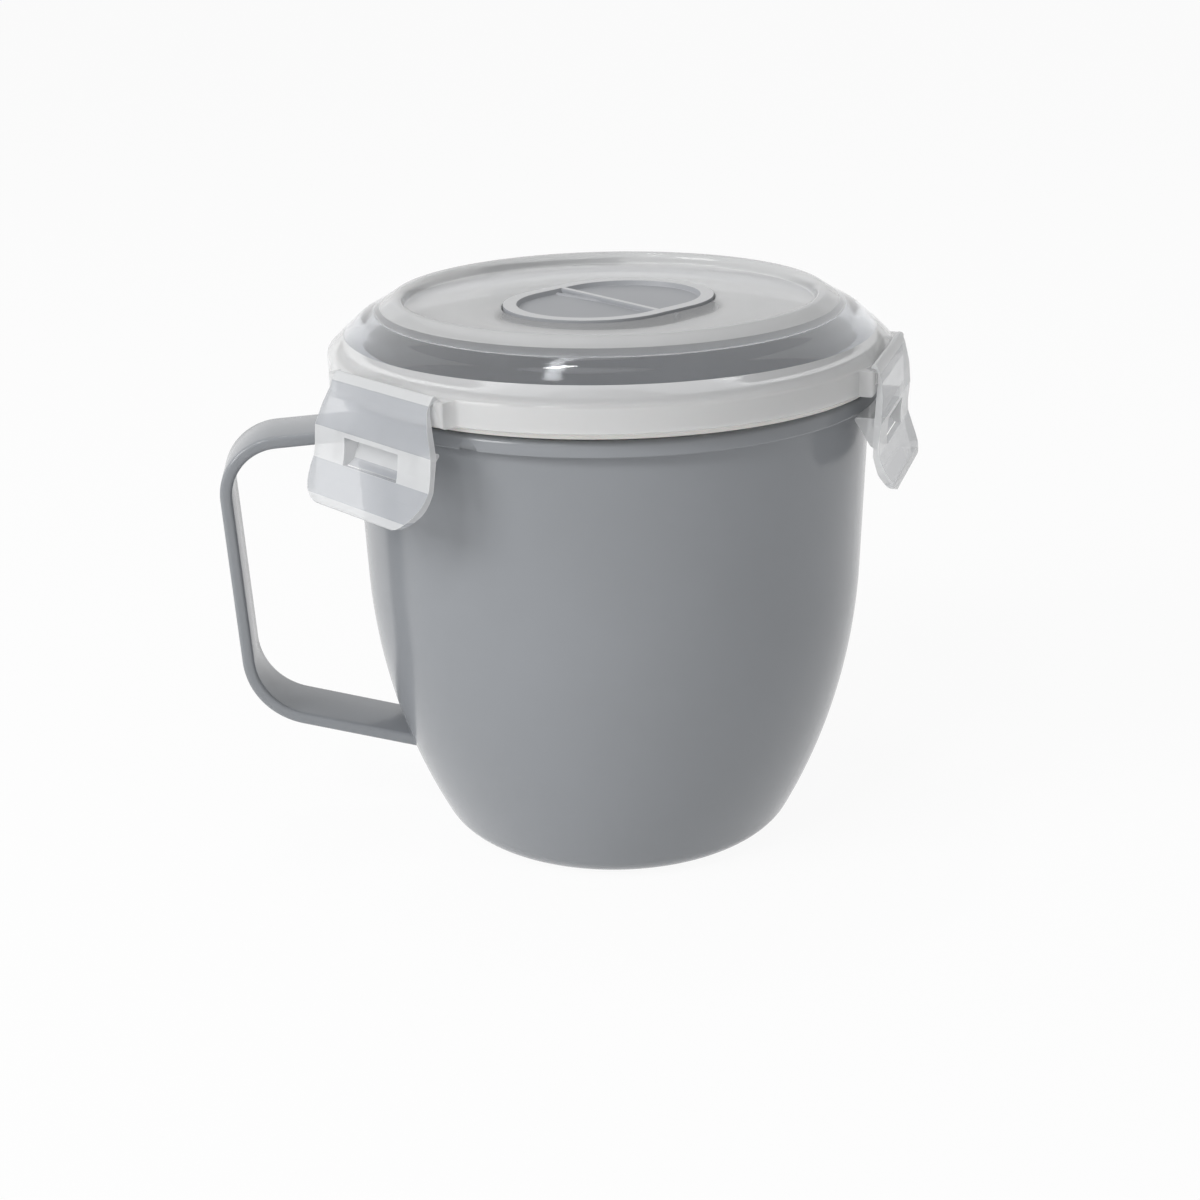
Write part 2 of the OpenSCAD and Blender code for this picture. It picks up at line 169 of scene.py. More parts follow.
def softEdges(piece, width, segments=2, angle=30):
    step = piece.modifiers.new("soft edges", 'BEVEL')
    step.width = width * mm
    step.segments = segments
    step.limit_method = 'ANGLE'
    step.angle_limit = math.radians(angle)
    step.harden_normals = True


# ---- camera: where the photograph was taken from

shot = dict(distance=420.8, height=210.4, tilt=20.453, pan=-0.487, roll=-1.226,
            lens=55.54, sensor=36, nearest=10)


def makeCamera():
    data = bpy.data.cameras.new("camera")
    data.sensor_width = shot["sensor"]
    data.lens = shot["lens"]
    data.clip_start = shot["nearest"] * mm
    camera = bpy.data.objects.new("camera", data)
    camera.matrix_world = (
        Matrix.Translation((0, -shot["distance"] * mm, shot["height"] * mm))
        @ Matrix.Rotation(math.radians(-shot["pan"]), 4, 'Z')
        @ Matrix.Rotation(math.radians(90 - shot["tilt"]), 4, 'X')
        @ Matrix.Rotation(math.radians(shot["roll"]), 4, 'Z'))
    bpy.context.scene.collection.objects.link(camera)
    bpy.context.scene.camera = camera


# ---- shader groups, each built once

def newGroup(name, inputs, outputs):
    group = bpy.data.node_groups.new(name, 'ShaderNodeTree')
    for label, kind, value in inputs:
        socket = group.interface.new_socket(label, in_out='INPUT', socket_type=kind)
        if value is not None:
            socket.default_value = value
    for label, kind in outputs:
        group.interface.new_socket(label, in_out='OUTPUT', socket_type=kind)
    source = group.nodes.new('NodeGroupInput')
    target = group.nodes.new('NodeGroupOutput')
    source.location = (-900, 0)
    target.location = (500, 0)
    return group, source, target


def addNode(tree, kind, x, y, **values):
    node = tree.nodes.new(kind)
    node.location = (x, y)
    for key, value in values.items():
        setattr(node, key, value)
    return node


def rangeNode(tree, x, y, low, high, newLow, newHigh):
    node = addNode(tree, 'ShaderNodeMapRange', x, y)
    for label, value in (("From Min", low), ("From Max", high),
                         ("To Min", newLow), ("To Max", newHigh)):
        node.inputs[label].default_value = value
    return node


# slow waves and fine orange peel of a moulded face: a 0 to 1 tone and a height
def makeMouldedGroup():
    group, source, target = newGroup(
        "mouldedFace",
        [("Vector", 'NodeSocketVector', None), ("Wave Scale", 'NodeSocketFloat', 18.0),
         ("Peel Scale", 'NodeSocketFloat', 900.0)],
        [("Tone", 'NodeSocketFloat'), ("Height", 'NodeSocketFloat')])
    wave = addNode(group, 'ShaderNodeTexNoise', -600, 150)
    wave.inputs["Detail"].default_value = 3
    peel = addNode(group, 'ShaderNodeTexNoise', -600, -150)
    peel.inputs["Detail"].default_value = 2
    tone = rangeNode(group, -300, 150, 0.3, 0.7, 0, 1)
    link = group.links.new
    link(source.outputs["Vector"], wave.inputs["Vector"])
    link(source.outputs["Vector"], peel.inputs["Vector"])
    link(source.outputs["Wave Scale"], wave.inputs["Scale"])
    link(source.outputs["Peel Scale"], peel.inputs["Scale"])
    link(wave.outputs["Fac"], tone.inputs["Value"])
    link(tone.outputs["Result"], target.inputs["Tone"])
    link(peel.outputs["Fac"], target.inputs["Height"])
    return group


# sparse dust: small round specks at random cells, and fine hairline scratches
def makeDustGroup():
    group, source, target = newGroup(
        "dustAndScuffs",
        [("Vector", 'NodeSocketVector', None), ("Cell Scale", 'NodeSocketFloat', 120.0),
         ("Amount", 'NodeSocketFloat', 0.06), ("Speck Size", 'NodeSocketFloat', 0.08)],
        [("Specks", 'NodeSocketFloat'), ("Scuffs", 'NodeSocketFloat')])
    cells = addNode(group, 'ShaderNodeTexVoronoi', -650, 200)
    cells.inputs["Randomness"].default_value = 1
    near = addNode(group, 'ShaderNodeMath', -400, 260, operation='LESS_THAN')
    parts = addNode(group, 'ShaderNodeSeparateColor', -400, 100)
    chosen = addNode(group, 'ShaderNodeMath', -200, 100, operation='LESS_THAN')
    both = addNode(group, 'ShaderNodeMath', 0, 200, operation='MULTIPLY')
    stretch = addNode(group, 'ShaderNodeMapping', -700, -200)
    stretch.inputs["Scale"].default_value = (60, 60, 2400)
    stretch.inputs["Rotation"].default_value = (0.5, 0.3, 0)
    hair = addNode(group, 'ShaderNodeTexNoise', -450, -200)
    hair.inputs["Scale"].default_value = 1
    hair.inputs["Detail"].default_value = 1
    thin = rangeNode(group, -200, -200, 0.68, 0.76, 0, 1)
    link = group.links.new
    link(source.outputs["Vector"], cells.inputs["Vector"])
    link(source.outputs["Cell Scale"], cells.inputs["Scale"])
    link(cells.outputs["Distance"], near.inputs[0])
    link(source.outputs["Speck Size"], near.inputs[1])
    link(cells.outputs["Color"], parts.inputs["Color"])
    link(parts.outputs["Red"], chosen.inputs[0])
    link(source.outputs["Amount"], chosen.inputs[1])
    link(near.outputs[0], both.inputs[0])
    link(chosen.outputs[0], both.inputs[1])
    link(source.outputs["Vector"], stretch.inputs["Vector"])
    link(stretch.outputs["Vector"], hair.inputs["Vector"])
    link(hair.outputs["Fac"], thin.inputs["Value"])
    link(both.outputs[0], target.inputs["Specks"])
    link(thin.outputs["Result"], target.inputs["Scuffs"])
    return group


# edges painted lighter, partly as wear that hands and washing have rubbed and partly as a painted
# edge highlight: where a rounded normal leaves the real one
def makeRubbedAndSheenGroup():
    group, source, target = newGroup(
        "rubbedEdgesAndSheen",
        [("Vector", 'NodeSocketVector', None), ("Edge Width", 'NodeSocketFloat', 0.4 * mm),
         ("Patch Scale", 'NodeSocketFloat', 260.0)],
        [("Mask", 'NodeSocketFloat')])
    rounded = addNode(group, 'ShaderNodeBevel', -700, 250, samples=4)
    shape = addNode(group, 'ShaderNodeNewGeometry', -700, 50)
    alike = addNode(group, 'ShaderNodeVectorMath', -500, 200, operation='DOT_PRODUCT')
    sharp = rangeNode(group, -300, 200, 0.99, 0.85, 0, 1)
    patches = addNode(group, 'ShaderNodeTexNoise', -650, -250)
    patches.inputs["Detail"].default_value = 4
    broken = rangeNode(group, -300, -250, 0.35, 0.6, 0.35, 1)
    both = addNode(group, 'ShaderNodeMath', -100, 100, operation='MULTIPLY')
    link = group.links.new
    link(source.outputs["Edge Width"], rounded.inputs["Radius"])
    link(rounded.outputs["Normal"], alike.inputs[0])
    link(shape.outputs["Normal"], alike.inputs[1])
    link(alike.outputs["Value"], sharp.inputs["Value"])
    link(source.outputs["Vector"], patches.inputs["Vector"])
    link(source.outputs["Patch Scale"], patches.inputs["Scale"])
    link(patches.outputs["Fac"], broken.inputs["Value"])
    link(sharp.outputs["Result"], both.inputs[0])
    link(broken.outputs["Result"], both.inputs[1])
    link(both.outputs[0], target.inputs["Mask"])
    return group


mouldedFace = makeMouldedGroup()
dustAndScuffs = makeDustGroup()
rubbedEdgesAndSheen = makeRubbedAndSheenGroup()


def startMaterial(name, **values):
    material = bpy.data.materials.new(name)
    material.use_nodes = True
    tree = material.node_tree
    shader = tree.nodes["Principled BSDF"]
    for label, value in values.items():
        shader.inputs[label.replace("_", " ")].default_value = value
    place = addNode(tree, 'ShaderNodeTexCoord', -1200, 0)
    face = addNode(tree, 'ShaderNodeGroup', -900, 200, node_tree=mouldedFace)
    dust = addNode(tree, 'ShaderNodeGroup', -900, -100, node_tree=dustAndScuffs)
    edgeWearAndSheen = addNode(tree, 'ShaderNodeGroup', -900, -400, node_tree=rubbedEdgesAndSheen)
    for group in (face, dust, edgeWearAndSheen):
        tree.links.new(place.outputs["Object"], group.inputs["Vector"])
    return material, tree, shader, face, dust, edgeWearAndSheen


# the first colour may be a colour or the socket that gives one
def blendColour(tree, mask, first, second, x, y):
    node = addNode(tree, 'ShaderNodeMix', x, y, data_type='RGBA')
    if isinstance(first, tuple):
        node.inputs["A"].default_value = (*first, 1)
    else:
        tree.links.new(first, node.inputs["A"])
    node.inputs["B"].default_value = (*second, 1)
    tree.links.new(mask, node.inputs["Factor"])
    return node.outputs["Result"]


# two tones of the plastic, then the lighter edges (rubbed wear and a painted edge highlight),
# then the specks on top
def addColours(tree, shader, face, dust, edgeWearAndSheen, tones, edgeWearAndSheenColour, speck):
    tone = blendColour(tree, face.outputs["Tone"], tones[0], tones[1], -600, 250)
    # edges painted lighter: partly rubbed wear, partly a painted edge highlight
    edged = blendColour(tree, edgeWearAndSheen.outputs["Mask"], tone, edgeWearAndSheenColour, -400, 400)
    specked = blendColour(tree, dust.outputs["Specks"], edged, speck, -200, 250)
    tree.links.new(specked, shader.inputs["Base Color"])


def darker(colour, share):
    return tuple(value * share for value in colour)


def setDust(dust, scale, amount, size):
    dust.inputs["Cell Scale"].default_value = scale
    dust.inputs["Amount"].default_value = amount
    dust.inputs["Speck Size"].default_value = size


peelHeight = 0.02


def addPeel(tree, shader, face, strength):
    bump = addNode(tree, 'ShaderNodeBump', -250, -350)
    bump.inputs["Strength"].default_value = strength
    bump.inputs["Distance"].default_value = peelHeight * mm
    tree.links.new(face.outputs["Height"], bump.inputs["Height"])
    tree.links.new(bump.outputs["Normal"], shader.inputs["Normal"])


def addRoughness(tree, shader, face, marks, smooth, rough, extra):
    gloss = rangeNode(tree, -600, -50, 0, 1, smooth, rough)
    marked = addNode(tree, 'ShaderNodeMath', -350, 0, operation='MULTIPLY_ADD')
    marked.inputs[1].default_value = extra
    tree.links.new(face.outputs["Tone"], gloss.inputs["Value"])
    tree.links.new(marks, marked.inputs[0])
    tree.links.new(gloss.outputs["Result"], marked.inputs[2])
    tree.links.new(marked.outputs[0], shader.inputs["Roughness"])


# the worn colours paint the edges lighter: partly rubbed wear, partly a painted edge highlight
mugFinish = dict(grey=(0.302, 0.316, 0.337), greyLow=(0.286, 0.299, 0.316),
                 speck=(0.10, 0.10, 0.10), edgeWearAndSheen=(0.40, 0.41, 0.43), smooth=0.15, rough=0.20,
                 peel=0.10, reflect=0.38, wornMatt=0.12, dust=(90, 0.05, 0.035))
lidFinish = dict(lowTone=0.97, edgeWearAndSheen=(0.92, 0.93, 0.94), speck=(0.5, 0.5, 0.5), scuffMatt=0.03,
                 dust=(160, 0.04, 0.05))
softFinish = dict(lowTone=0.93, speck=(0.4, 0.4, 0.4), peel=0.3, wornMatt=0.1, glowDepth=1.5,
                  dust=(120, 0.05, 0.08))


def makeMugMaterial():
    v = mugFinish
    material, tree, shader, face, dust, edgeWearAndSheen = startMaterial(
        "glossyGreyPlastic", IOR=1.5, Specular_IOR_Level=v["reflect"])
    setDust(dust, *v["dust"])
    addColours(tree, shader, face, dust, edgeWearAndSheen, (v["grey"], v["greyLow"]), v["edgeWearAndSheen"], v["speck"])
    addRoughness(tree, shader, face, edgeWearAndSheen.outputs["Mask"], v["smooth"], v["rough"],
                 v["wornMatt"])
    addPeel(tree, shader, face, v["peel"])
    return material


# one lid plastic: clear where it is polished, milky and half see-through where it is etched
def makeLidMaterial(name, colour, smooth, rough, peel, alpha=1.0, transmission=0.0):
    v = lidFinish
    material, tree, shader, face, dust, edgeWearAndSheen = startMaterial(
        name, IOR=1.49, Transmission_Weight=transmission, Alpha=alpha)
    setDust(dust, *v["dust"])
    addColours(tree, shader, face, dust, edgeWearAndSheen, (colour, darker(colour, v["lowTone"])),
               v["edgeWearAndSheen"], v["speck"])
    addRoughness(tree, shader, face, dust.outputs["Scuffs"], smooth, rough, v["scuffMatt"])
    addPeel(tree, shader, face, peel)
    return material


def makeSoftMaterial(name, colour, edgeWearAndSheenColour, smooth, rough, glow=0.0):
    v = softFinish
    material, tree, shader, face, dust, edgeWearAndSheen = startMaterial(
        name, IOR=1.41, Subsurface_Weight=glow, Subsurface_Scale=v["glowDepth"] * mm)
    setDust(dust, *v["dust"])
    addColours(tree, shader, face, dust, edgeWearAndSheen, (colour, darker(colour, v["lowTone"])),
               edgeWearAndSheenColour, v["speck"])
    addRoughness(tree, shader, face, edgeWearAndSheen.outputs["Mask"], smooth, rough, v["wornMatt"])
    addPeel(tree, shader, face, v["peel"])
    return material


# smooth and rough are the two ends of the gloss, and peel is the depth of the orange peel
lidPlastics = dict(
    clearLidWall=dict(colour=(0.82, 0.84, 0.875), smooth=0.03, rough=0.06, peel=0.02,
                      transmission=0.93),
    frostedLid=dict(colour=(0.86, 0.865, 0.87), smooth=0.06, rough=0.09, peel=0.06, alpha=0.56),
    milkyLidRing=dict(colour=(0.68, 0.685, 0.69), smooth=0.06, rough=0.09, peel=0.05, alpha=0.60),
    satinLidTop=dict(colour=(0.84, 0.845, 0.85), smooth=0.12, rough=0.16, peel=0.06, alpha=0.54),
    frostedLatch=dict(colour=(0.60, 0.62, 0.655), smooth=0.09, rough=0.13, peel=0.06,
                      alpha=0.48),
    milkyLatchEdge=dict(colour=(0.78, 0.79, 0.80), smooth=0.09, rough=0.13, peel=0.06,
                        alpha=0.66))
# each worn colour paints the edges lighter: partly rubbed wear, partly a painted edge highlight
softPlastics = dict(
    whiteSilicone=dict(colour=(0.86, 0.85, 0.82), edgeWearAndSheenColour=(0.9, 0.89, 0.86), smooth=0.45,
                       rough=0.57, glow=0.1),
    satinGreyPlastic=dict(colour=(0.37, 0.38, 0.40), edgeWearAndSheenColour=(0.50, 0.51, 0.525),
                          smooth=0.42, rough=0.50),
    satinRockerRim=dict(colour=(0.62, 0.625, 0.635), edgeWearAndSheenColour=(0.76, 0.77, 0.78),
                        smooth=0.34, rough=0.40))

mugGrey = makeMugMaterial()
lidClear, lidFrost, lidRing, lidPlate, latchFrost, latchMilky = [
    makeLidMaterial(name, **values) for name, values in lidPlastics.items()]
whiteSilicone, ventGrey, ventRim = [
    makeSoftMaterial(name, **values) for name, values in softPlastics.items()]
print("materials ready")


# ---- mug: one moulding of barrel, rim flange and strap handle

barrel = dict(rimHeight=110, bellyRadius=58.5, bellyHeight=65, draft=1.7, baseRadius=35,
              baseCorner=9.2, wall=2.2, flangeWidth=2, flangeHeight=3.2, flangeRound=1.1,
              flangeSlope=0.5, edgeRound=0.35, notchDepth=0.5, notchWidth=4.2,
              notchAzimuth=241.4, cornerSteps=12, sideSteps=40)
strap = dict(width=18, thickness=2.8, edge=0.9, reach=31, drop=6.1, span=39.4, upperBend=14,
             lowerBend=18, lean=2.3, upperArm=3, lowerArm=16.5, lowerEnd=49.5, azimuth=187,
             bendSteps=24)

rimRadius = barrel["bellyRadius"] + (barrel["rimHeight"] - barrel["bellyHeight"]) * tanDeg(
    barrel["draft"])
flangeRadius = rimRadius + barrel["flangeWidth"]
flangeLow = barrel["rimHeight"] - barrel["flangeHeight"]
mouthRadius = rimRadius - barrel["wall"] / cosDeg(barrel["draft"])


# the big side arc is tangent to the straight wall above and to the base corner below
def sideLine(inset):
    b = barrel
    dx = b["bellyRadius"] - b["baseRadius"]
    dz = b["bellyHeight"] - b["baseCorner"]
    reach = dx * cosDeg(b["draft"]) - dz * sinDeg(b["draft"])
    radius = (dx * dx + dz * dz - b["baseCorner"] ** 2) / (2 * (reach - b["baseCorner"]))
    centre = (b["bellyRadius"] - radius * cosDeg(b["draft"]),
              b["bellyHeight"] + radius * sinDeg(b["draft"]))
    join = math.degrees(math.atan2(b["baseCorner"] - centre[1], b["baseRadius"] - centre[0]))
    corner = arcPoints((b["baseRadius"], b["baseCorner"]), b["baseCorner"] - inset,
                       -90, join, b["cornerSteps"])
    return corner + arcPoints(centre, radius - inset, join, -b["draft"], b["sideSteps"])[1:]


def makeBarrel():
    b = barrel
    top = roundedLine([
        (b["bellyRadius"], b["bellyHeight"], 0),
        (rimRadius - b["flangeHeight"] * tanDeg(b["draft"]), flangeLow, b["edgeRound"]),
        (flangeRadius, flangeLow, b["edgeRound"]),
        (flangeRadius - b["flangeSlope"], b["rimHeight"], b["flangeRound"]),
        (mouthRadius, b["rimHeight"], b["wall"] / 4),
        (sideLine(b["wall"])[-1][0], b["bellyHeight"], 0)], closed=False)
    bm = spinLine([(0, 0)] + sideLine(0) + top[1:] + sideLine(b["wall"])[::-1][1:]
                  + [(0, b["wall"])])
    piece = newPiece("mugBarrel", bm, mugGrey)
    inside, outside = rimRadius + b["edgeRound"], flangeRadius + b["wall"]
    for i in range(latchCount):     # a shallow notch in the flange's lower edge by each latch
        notch = newPiece("notch", drawOut(
            [(inside, flangeLow - b["wall"]), (outside, flangeLow - b["wall"]),
             (outside, flangeLow + b["notchDepth"]), (inside, flangeLow + b["notchDepth"])],
            b["notchWidth"]))
        turn = b["notchAzimuth"] + 360 / latchCount * i
        notch.data.transform(Matrix.Rotation(math.radians(turn), 4, 'Z'))
        combine(piece, notch, 'DIFFERENCE')
    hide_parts("mug")
    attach(piece, "mug")


# the strap's section is drawn where the upper arm leaves the wall, then run along its way
def makeHandle():
    s = strap
    midUpper = s["upperBend"] - s["thickness"] / 2
    midLower = s["lowerBend"] - s["thickness"] / 2
    upperX = rimRadius + s["reach"] - s["upperBend"]
    upperZ = flangeLow - s["drop"] - s["upperBend"]
    lowerX = upperX - (s["lowerBend"] - s["upperBend"] + s["span"] * sinDeg(s["lean"])) \
        / cosDeg(s["lean"])
    lowerZ = upperZ - s["span"]
    armX = upperX + midUpper * sinDeg(s["upperArm"])
    armZ = upperZ + midUpper * cosDeg(s["upperArm"])
    startX = rimRadius - barrel["wall"]
    armLength = (armX - startX) / cosDeg(s["upperArm"])
    gripLength = math.sqrt((upperX - lowerX) ** 2 + s["span"] ** 2
                           - (s["lowerBend"] - s["upperBend"]) ** 2)
    bendEndX = lowerX + midLower * sinDeg(s["lowerArm"])
    lowLength = (bendEndX - s["lowerEnd"]) / cosDeg(s["lowerArm"])
    halfW, halfT = s["width"] / 2, s["thickness"] / 2
    ring = roundedLine([(halfW, halfT, s["edge"]), (-halfW, halfT, s["edge"]),
                        (-halfW, -halfT, s["edge"]), (halfW, -halfT, s["edge"])])
    bm = bmesh.new()
    verts, edges = drawLine(bm, ring, closed=True)
    bm.faces.new(verts)
    bmesh.ops.rotate(bm, verts=verts, cent=(0, 0, 0),
                     matrix=Matrix.Rotation(math.radians(90), 3, 'Z'))
    bmesh.ops.rotate(bm, verts=verts, cent=(0, 0, 0),
                     matrix=Matrix.Rotation(math.radians(s["upperArm"]), 3, 'Y'))
    bmesh.ops.translate(bm, verts=verts, vec=(
        startX * mm, 0, (armZ + armLength * sinDeg(s["upperArm"])) * mm))

    def run(edges, dx, dz):
        out = bmesh.ops.extrude_edge_only(bm, edges=edges)["geom"]
        moved = [v for v in out if isinstance(v, bmesh.types.BMVert)]
        bmesh.ops.translate(bm, verts=moved, vec=(dx * mm, 0, dz * mm))
        return [e for e in out if isinstance(e, bmesh.types.BMEdge) and
                e.verts[0] in moved and e.verts[1] in moved]

    def bend(edges, x, z, angle):
        rim = list({v for e in edges for v in e.verts})
        out = bmesh.ops.spin(bm, geom=rim + edges, cent=(x * mm, 0, z * mm), axis=(0, 1, 0),
                             angle=math.radians(angle), steps=s["bendSteps"])["geom_last"]
        return [e for e in out if isinstance(e, bmesh.types.BMEdge)]

    edges = run(edges, armLength * cosDeg(s["upperArm"]), -armLength * sinDeg(s["upperArm"]))
    edges = bend(edges, upperX, upperZ, 90 - s["upperArm"] + s["lean"])
    edges = run(edges, -gripLength * sinDeg(s["lean"]), -gripLength * cosDeg(s["lean"]))
    edges = bend(edges, lowerX, lowerZ, 90 - s["lowerArm"] - s["lean"])
    edges = run(edges, -lowLength * cosDeg(s["lowerArm"]), -lowLength * sinDeg(s["lowerArm"]))
    bmesh.ops.holes_fill(bm, edges=edges)
    bmesh.ops.rotate(bm, verts=bm.verts, cent=(0, 0, 0),
                     matrix=Matrix.Rotation(math.radians(s["azimuth"]), 3, 'Z'))
    bmesh.ops.recalc_face_normals(bm, faces=bm.faces)
    piece = newPiece("mugHandle", bm, mugGrey, sharpAngle=50)
    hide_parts("mug")
    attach(piece, "mug")


makeCamera()
makeBarrel()
makeHandle()
print("mug ready")


# ---- lid: skirt, shoulder, clear sloping wall, ring bead and top with the vent's well

lid = dict(skirtGap=2.4, skirtOver=2.8, skirtHeight=5.6, roofDrop=0.7, shoulderWidth=3.9,
           shoulderRise=3.7, domeWidth=7.4, domeRise=4.9, ringWidth=6.4, ringRise=2.65,
           ringRound=1.4, ringFoot=0.5, wall=1.8, shoulderRound=1.2, skirtRound=1.3, edge=0.4,
           plugGap=0.6, plugWall=1.4, plugDepth=3, topEdge=36, bossWidth=40, bossEdge=0.6,
           hazeEdge=-1, clearDeep=3, clearProud=0.9, clearPast=0.6, bulge=0.55,
           bulgeRound=9, latchAzimuth=222.5)
vent = dict(azimuth=46, radius=20.2, span=11.2, thickness=2.4, proud=0.5, rim=3, dish=1.1,
            dishSlope=0.5, bar=1.8, barSkew=-8, barRound=0.4, gap=0.4, wellDepth=10,
            wellWall=1.6, wellEdge=0.3, pin=0.8, pinGap=0.08, steamRadius=3, steamReach=16,
            sealRadius=5, sealEdge=0.4, postSink=0.6, barSink=0.3, edge=0.35, steps=128)

skirtRadius = flangeRadius + lid["skirtOver"]
skirtLow = barrel["rimHeight"] + lid["skirtGap"]
skirtTop = skirtLow + lid["skirtHeight"]
footRadius = skirtRadius - lid["shoulderWidth"]
footHeight = skirtTop + lid["shoulderRise"]
ringRadius = footRadius - lid["domeWidth"]
topHeight = footHeight + lid["domeRise"]
domeSlope = lid["domeRise"] / lid["domeWidth"]
underHeight = topHeight - lid["wall"]
roofHeight = skirtTop - lid["roofDrop"]
ledgeHeight = roofHeight + lid["wall"]
plugRadius = mouthRadius - lid["plugGap"]
floorHeight = topHeight - vent["wellDepth"] + vent["wellWall"]
aroundLid = [Matrix.Rotation(math.radians(lid["latchAzimuth"] + 360 / latchCount * i), 4, 'Z')
             for i in range(latchCount)]


def lidOutline():
    v = lid
    drop = v["wall"] * math.sqrt(1 + domeSlope ** 2)
    crest = topHeight + v["ringRise"]
    inner = ringRadius - v["ringWidth"]
    plugIn = plugRadius - v["plugWall"]
    plugLow = barrel["rimHeight"] - v["plugDepth"]
    outShare, upShare = 0.55, 0.83      # the bulge is square to the dome's slope
    e = v["edge"]
    return roundedLine([
        (v["topEdge"], topHeight, 0), (inner, topHeight, v["ringFoot"]),
        (inner, crest, v["ringRound"]),
        (ringRadius - v["ringRise"] / domeSlope, crest, v["ringRound"]),
        (ringRadius + v["hazeEdge"], topHeight - v["hazeEdge"] * domeSlope, 0),
        (footRadius - v["domeWidth"] / 2 + v["bulge"] * outShare,
         footHeight + v["domeRise"] / 2 + v["bulge"] * upShare, v["bulgeRound"]),
        (footRadius, footHeight, v["shoulderRound"]),
        (skirtRadius, skirtTop, v["skirtRound"]), (skirtRadius, skirtLow, e),
        (skirtRadius - v["wall"], skirtLow, e), (skirtRadius - v["wall"], roofHeight, e),
        (plugRadius, roofHeight, e), (plugRadius, plugLow, e), (plugIn, plugLow, e),
        (plugIn, ledgeHeight, e),
        (footRadius - (ledgeHeight - footHeight + drop) / domeSlope, ledgeHeight, e / 2),
        (footRadius - (underHeight - footHeight + drop) / domeSlope, underHeight, 1.0),
        (v["topEdge"], underHeight, 0)], closed=False)


# a point of the vent's round-ended outline, in the direction of a point on a circle
def ventPoint(x, y, radius, height, shift=0):
    angle = math.atan2(y, x) - math.radians(vent["azimuth"])
    side = vent["span"] / 2 * (1 if math.cos(angle) > 0 else -1) * (0 if shift else 1)
    flat = Vector((radius * math.cos(angle) + side + shift, radius * math.sin(angle)))
    flat.rotate(Matrix.Rotation(math.radians(vent["azimuth"]), 2))
    return Vector((flat.x * mm, flat.y * mm, height * mm))


# the outline is spun, and its inner edge is drawn on through the well and down to the underside
def makeLid():
    bm = bmesh.new()
    verts, edges = drawLine(bm, lidOutline())
    bmesh.ops.spin(bm, geom=verts + edges, cent=(0, 0, 0), axis=(0, 0, 1),
                   angle=2 * math.pi, steps=spinSteps, use_merge=True)
    bmesh.ops.remove_doubles(bm, verts=bm.verts, dist=weldGap * mm)
    rim = [e for e in bm.edges if e.is_boundary and
           abs(e.verts[0].co.z / mm - topHeight) < 0.01]
    away = {vert: vert.co.copy() for e in rim for vert in e.verts}
    v = vent
    hole, soft = v["radius"] + v["gap"], v["wellEdge"]
    outer = hole + v["wellWall"]
    under = floorHeight - v["wellWall"]
    wellWay = [         # radius, height and the shift of the steam hole
        (hole + soft, topHeight, 0), (hole + soft / 3, topHeight - soft / 3, 0),
        (hole, topHeight - soft, 0), (hole, floorHeight + 2 * soft, 0),
        (hole - 2 * soft, floorHeight, 0), (v["steamRadius"], floorHeight, v["steamReach"]),
        (v["steamRadius"], under, v["steamReach"]), (outer - 2 * soft, under, 0),
        (outer, under + 2 * soft, 0), (outer, underHeight - soft, 0),
        (outer + soft, underHeight, 0)]
    for radius, height, shift in wellWay:
        out = bmesh.ops.extrude_edge_only(bm, edges=rim)["geom"]
        fresh = [g for g in out if isinstance(g, bmesh.types.BMVert)]
        olds = {}
        for vert in fresh:
            old = next(e.other_vert(vert) for e in vert.link_edges
                       if e.other_vert(vert) in away)
            olds[vert] = away[old]
        for vert in fresh:
            vert.co = ventPoint(olds[vert].x, olds[vert].y, radius, height, shift)
        rim = [g for g in out if isinstance(g, bmesh.types.BMEdge)
               and g.verts[0] in olds and g.verts[1] in olds]
        away = olds
    lower = [e for e in bm.edges if e.is_boundary and e not in rim]
    bmesh.ops.bridge_loops(bm, edges=rim + lower)
    bmesh.ops.recalc_face_normals(bm, faces=bm.faces)
    piece = newPiece("lidShell", bm, lidFrost)
    for placed in aroundLid:
        combine(piece, makeBoss(placed), 'UNION')
        combine(piece, makeGroove(placed), 'DIFFERENCE')
    paintLid(piece)
    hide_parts("lid")
    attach(piece, "lid")


# the straight front of the boss and its back inside the round skirt
def makeBoss(placed):
    half = lid["bossWidth"] / 2
    back = math.degrees(math.asin(half / (skirtRadius - lid["wall"] / 2)))
    plan = [(skirtRadius, -half), (skirtRadius, half)]
    plan += arcPoints((0, 0), skirtRadius - lid["wall"] / 2, back, -back, 16)
    bm = bmesh.new()
    verts = [bm.verts.new((x * mm, y * mm, skirtLow * mm)) for x, y in plan]
    out = bmesh.ops.extrude_face_region(bm, geom=[bm.faces.new(verts)])["geom"]
    moved = [g for g in out if isinstance(g, bmesh.types.BMVert)]
    bmesh.ops.translate(bm, verts=moved, vec=(0, 0, lid["skirtHeight"] * mm))
    front = [e for e in bm.edges if all(v.co.x / mm > skirtRadius - 0.01 for v in e.verts)]
    bmesh.ops.bevel(bm, geom=front, offset=lid["bossEdge"] * mm, offset_type='OFFSET',
                    segments=3, profile=0.5, affect='EDGES', material=-1)
    bmesh.ops.recalc_face_normals(bm, faces=bm.faces)
    piece = newPiece("boss", bm)
    piece.data.transform(placed)
    return piece


# ---- latches: hinge edge, plate, hook under the rim flange and flared finger tab

